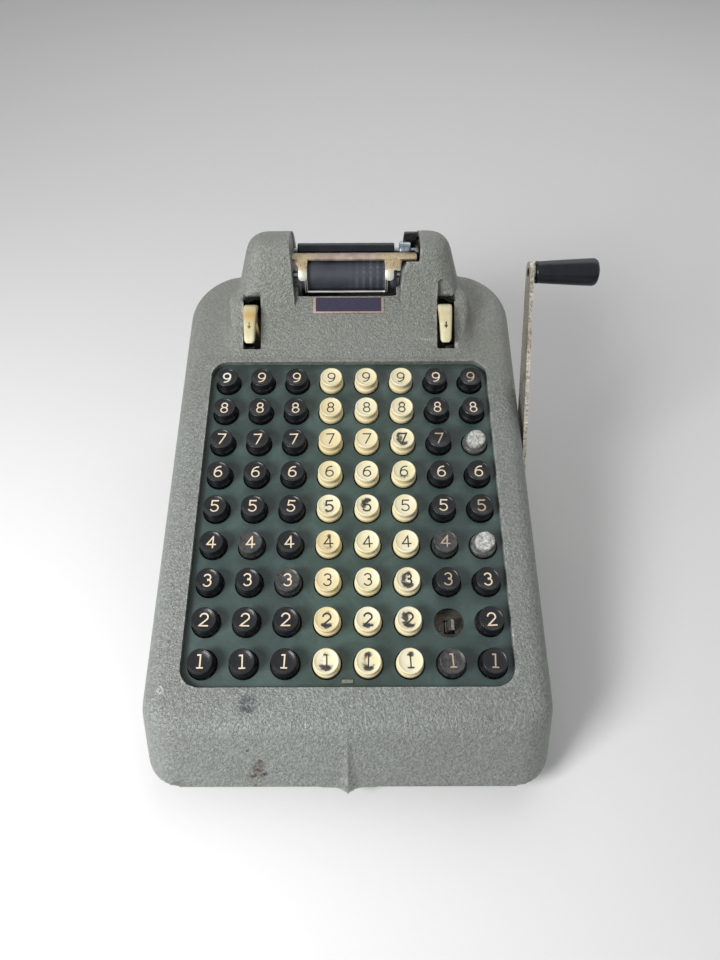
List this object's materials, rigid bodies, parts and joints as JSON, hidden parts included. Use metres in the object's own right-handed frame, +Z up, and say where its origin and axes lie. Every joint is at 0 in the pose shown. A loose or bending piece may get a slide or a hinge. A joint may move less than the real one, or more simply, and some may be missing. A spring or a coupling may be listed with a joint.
{
  "type": "adding machine",
  "caption": "Hand-cranked printing adding machine with a sloping full keyboard of round keys, a hood with two towers around a printing platen, and a side crank.",
  "frame": {"origin": "centre of the bounding box in plan, on the plane the rubber feet stand on", "axes": "+Y from the front edge towards the rear, +Z up, +X towards the crank"},
  "size_m": [0.2252, 0.2778, 0.1483],
  "materials": {
    "case_paint": "hammertone enamel, worn",
    "plate_paint": "satin enamel, mottled",
    "key_black": "semi-gloss moulded",
    "key_cream": "semi-gloss moulded, soiled",
    "lever_cream": "semi-gloss moulded",
    "steel": "plain sheet",
    "dark_steel": "blackened",
    "crank_steel": "worn and pitted",
    "bright_steel": "bright",
    "bronze": "bearing bronze",
    "guide_metal": "tan bronze paint, speckled",
    "grip_black": "gloss moulded",
    "spindle_black": "gloss",
    "platen_rubber": "aged, dull",
    "feet_rubber": "dull"
  },
  "bodies": {
    "housing": {"case": "case_paint", "base_plate": "dark_steel", "rubber_feet": "feet_rubber", "foot_screws": "steel", "key_plate": "plate_paint", "key_guide": "dark_steel", "side_frame_left": "steel", "side_frame_right": "steel", "cross_rods": "steel", "rack_combs": "steel", "lever_shaft": "steel", "type_shaft": "steel", "crank_bushing": "bronze", "paper_guide": "guide_metal", "guide_wire": "bright_steel", "spindle_brackets": "steel"},
    "crank": {"main_shaft": "crank_steel", "drive_arms": "dark_steel", "crank_arm": "crank_steel", "crank_nut": "crank_steel", "grip_pin": "crank_steel"},
    "grip": {"crank_grip": "grip_black"},
    "racks": {"rack_bank": "steel"},
    "printing_bars": {"type_bars": "steel"},
    "adder": {"adder_shaft": "steel", "adder_gears": "bronze"},
    "platen": {"platen_rubber": "platen_rubber", "platen_shaft": "steel", "platen_ratchet": "dark_steel"},
    "spindle": {"spindle_core": "spindle_black", "spindle_rod": "bright_steel", "spindle_knob": "bright_steel"},
    "left_spool": {"ribbon_spool_left": "dark_steel"},
    "right_spool": {"ribbon_spool_right": "dark_steel"},
    "left_lever": {"repeat_lever": "lever_cream"},
    "right_lever": {"total_lever": "lever_cream"},
    "column_1": {"keys_column_1": "key_black"},
    "column_2": {"keys_column_2": "key_black"},
    "column_3": {"keys_column_3": "key_black"},
    "column_4": {"keys_column_4": "key_cream"},
    "column_5": {"keys_column_5": "key_cream"},
    "column_6": {"keys_column_6": "key_cream"},
    "button_7_1": {"key_7_1": "key_black"},
    "bare_stem_7_2": {"stem_7_2": "steel"},
    "button_7_3": {"key_7_3": "key_black"},
    "button_7_4": {"key_7_4": "key_black"},
    "button_7_5": {"key_7_5": "key_black"},
    "button_7_6": {"key_7_6": "key_black"},
    "button_7_7": {"key_7_7": "key_black"},
    "button_7_8": {"key_7_8": "key_black"},
    "button_7_9": {"key_7_9": "key_black"},
    "button_8_1": {"key_8_1": "key_black"},
    "button_8_2": {"key_8_2": "key_black"},
    "button_8_3": {"key_8_3": "key_black"},
    "button_8_4": {"key_8_4": "key_black"},
    "button_8_5": {"key_8_5": "key_black"},
    "button_8_6": {"key_8_6": "key_black"},
    "button_8_7": {"key_8_7": "key_black"},
    "button_8_8": {"key_8_8": "key_black"},
    "button_8_9": {"key_8_9": "key_black"}
  },
  "joints": [
    {"name": "crank_turn", "type": "hinge", "parent": "housing", "child": "crank", "pos_m": [0, 0.0099, 0.033], "axis": [1, 0, 0], "range_deg": [0, 80], "stiffness_Nm_per_rad": 0.3, "springref_deg": -28.65},
    {"name": "grip_turn", "type": "hinge", "parent": "crank", "child": "grip", "pos_m": [0, 0.08203, 0.14115], "axis": [1, 0, 0], "continuous": true},
    {"name": "rack_slide", "type": "slide", "parent": "housing", "child": "racks", "axis": [0, 0.9632, 0.2689], "range_m": [0, 0.0181]},
    {"name": "print_turn", "type": "hinge", "parent": "housing", "child": "printing_bars", "pos_m": [0, 0.10895, 0.0683], "axis": [1, 0, 0], "range_deg": [-14.1, 0]},
    {"name": "adder_turn", "type": "hinge", "parent": "housing", "child": "adder", "pos_m": [0, 0.06395, 0.046], "axis": [1, 0, 0], "continuous": true},
    {"name": "platen_turn", "type": "hinge", "parent": "housing", "child": "platen", "pos_m": [0, 0.10995, 0.1233], "axis": [1, 0, 0], "continuous": true},
    {"name": "spindle_turn", "type": "hinge", "parent": "housing", "child": "spindle", "pos_m": [0, 0.12595, 0.129], "axis": [1, 0, 0], "continuous": true},
    {"name": "left_spool_turn", "type": "hinge", "parent": "housing", "child": "left_spool", "pos_m": [0, 0.11595, 0.1093], "axis": [1, 0, 0], "continuous": true},
    {"name": "right_spool_turn", "type": "hinge", "parent": "housing", "child": "right_spool", "pos_m": [0, 0.11595, 0.1093], "axis": [1, 0, 0], "continuous": true},
    {"name": "left_lever_turn", "type": "hinge", "parent": "housing", "child": "left_lever", "pos_m": [0, 0.10195, 0.07703], "axis": [1, 0, 0], "range_deg": [0, 9], "stiffness_Nm_per_rad": 0.06, "springref_deg": -14.32},
    {"name": "right_lever_turn", "type": "hinge", "parent": "housing", "child": "right_lever", "pos_m": [0, 0.10195, 0.07703], "axis": [1, 0, 0], "range_deg": [0, 9], "stiffness_Nm_per_rad": 0.06, "springref_deg": -14.32},
    {"name": "column_1_press", "type": "slide", "parent": "housing", "child": "column_1", "axis": [0, 0.2689, -0.9632], "range_m": [0, 0.0045], "stiffness_N_per_m": 540, "springref_m": -0.003},
    {"name": "column_2_press", "type": "slide", "parent": "housing", "child": "column_2", "axis": [0, 0.2689, -0.9632], "range_m": [0, 0.0045], "stiffness_N_per_m": 540, "springref_m": -0.003},
    {"name": "column_3_press", "type": "slide", "parent": "housing", "child": "column_3", "axis": [0, 0.2689, -0.9632], "range_m": [0, 0.0045], "stiffness_N_per_m": 540, "springref_m": -0.003},
    {"name": "column_4_press", "type": "slide", "parent": "housing", "child": "column_4", "axis": [0, 0.2689, -0.9632], "range_m": [0, 0.0045], "stiffness_N_per_m": 540, "springref_m": -0.003},
    {"name": "column_5_press", "type": "slide", "parent": "housing", "child": "column_5", "axis": [0, 0.2689, -0.9632], "range_m": [0, 0.0045], "stiffness_N_per_m": 540, "springref_m": -0.003},
    {"name": "column_6_press", "type": "slide", "parent": "housing", "child": "column_6", "axis": [0, 0.2689, -0.9632], "range_m": [0, 0.0045], "stiffness_N_per_m": 540, "springref_m": -0.003},
    {"name": "button_7_1_press", "type": "slide", "parent": "housing", "child": "button_7_1", "axis": [0, 0.2689, -0.9632], "range_m": [0, 0.0045], "stiffness_N_per_m": 60, "springref_m": -0.003},
    {"name": "bare_stem_7_2_press", "type": "slide", "parent": "housing", "child": "bare_stem_7_2", "axis": [0, 0.2689, -0.9632], "range_m": [0, 0.0045], "stiffness_N_per_m": 60, "springref_m": -0.003},
    {"name": "button_7_3_press", "type": "slide", "parent": "housing", "child": "button_7_3", "axis": [0, 0.2689, -0.9632], "range_m": [0, 0.0045], "stiffness_N_per_m": 60, "springref_m": -0.003},
    {"name": "button_7_4_press", "type": "slide", "parent": "housing", "child": "button_7_4", "axis": [0, 0.2689, -0.9632], "range_m": [0, 0.0045], "stiffness_N_per_m": 60, "springref_m": -0.003},
    {"name": "button_7_5_press", "type": "slide", "parent": "housing", "child": "button_7_5", "axis": [0, 0.2689, -0.9632], "range_m": [0, 0.0045], "stiffness_N_per_m": 60, "springref_m": -0.003},
    {"name": "button_7_6_press", "type": "slide", "parent": "housing", "child": "button_7_6", "axis": [0, 0.2689, -0.9632], "range_m": [0, 0.0045], "stiffness_N_per_m": 60, "springref_m": -0.003},
    {"name": "button_7_7_press", "type": "slide", "parent": "housing", "child": "button_7_7", "axis": [0, 0.2689, -0.9632], "range_m": [0, 0.0045], "stiffness_N_per_m": 60, "springref_m": -0.003},
    {"name": "button_7_8_press", "type": "slide", "parent": "housing", "child": "button_7_8", "axis": [0, 0.2689, -0.9632], "range_m": [0, 0.0045], "stiffness_N_per_m": 60, "springref_m": -0.003},
    {"name": "button_7_9_press", "type": "slide", "parent": "housing", "child": "button_7_9", "axis": [0, 0.2689, -0.9632], "range_m": [0, 0.0045], "stiffness_N_per_m": 60, "springref_m": -0.003},
    {"name": "button_8_1_press", "type": "slide", "parent": "housing", "child": "button_8_1", "axis": [0, 0.2689, -0.9632], "range_m": [0, 0.0045], "stiffness_N_per_m": 60, "springref_m": -0.003},
    {"name": "button_8_2_press", "type": "slide", "parent": "housing", "child": "button_8_2", "axis": [0, 0.2689, -0.9632], "range_m": [0, 0.0045], "stiffness_N_per_m": 60, "springref_m": -0.003},
    {"name": "button_8_3_press", "type": "slide", "parent": "housing", "child": "button_8_3", "axis": [0, 0.2689, -0.9632], "range_m": [0, 0.0045], "stiffness_N_per_m": 60, "springref_m": -0.003},
    {"name": "button_8_4_press", "type": "slide", "parent": "housing", "child": "button_8_4", "axis": [0, 0.2689, -0.9632], "range_m": [0, 0.0045], "stiffness_N_per_m": 60, "springref_m": -0.003},
    {"name": "button_8_5_press", "type": "slide", "parent": "housing", "child": "button_8_5", "axis": [0, 0.2689, -0.9632], "range_m": [0, 0.0045], "stiffness_N_per_m": 60, "springref_m": -0.003},
    {"name": "button_8_6_press", "type": "slide", "parent": "housing", "child": "button_8_6", "axis": [0, 0.2689, -0.9632], "range_m": [0, 0.0045], "stiffness_N_per_m": 60, "springref_m": -0.003},
    {"name": "button_8_7_press", "type": "slide", "parent": "housing", "child": "button_8_7", "axis": [0, 0.2689, -0.9632], "range_m": [0, 0.0045], "stiffness_N_per_m": 60, "springref_m": -0.003},
    {"name": "button_8_8_press", "type": "slide", "parent": "housing", "child": "button_8_8", "axis": [0, 0.2689, -0.9632], "range_m": [0, 0.0045], "stiffness_N_per_m": 60, "springref_m": -0.003},
    {"name": "button_8_9_press", "type": "slide", "parent": "housing", "child": "button_8_9", "axis": [0, 0.2689, -0.9632], "range_m": [0, 0.0045], "stiffness_N_per_m": 60, "springref_m": -0.003}
  ],
  "couplings": [
    {"joint": "rack_slide", "follows": "crank_turn", "m_per_rad": 0.012892},
    {"joint": "print_turn", "follows": "crank_turn", "ratio": -0.175}
  ]
}
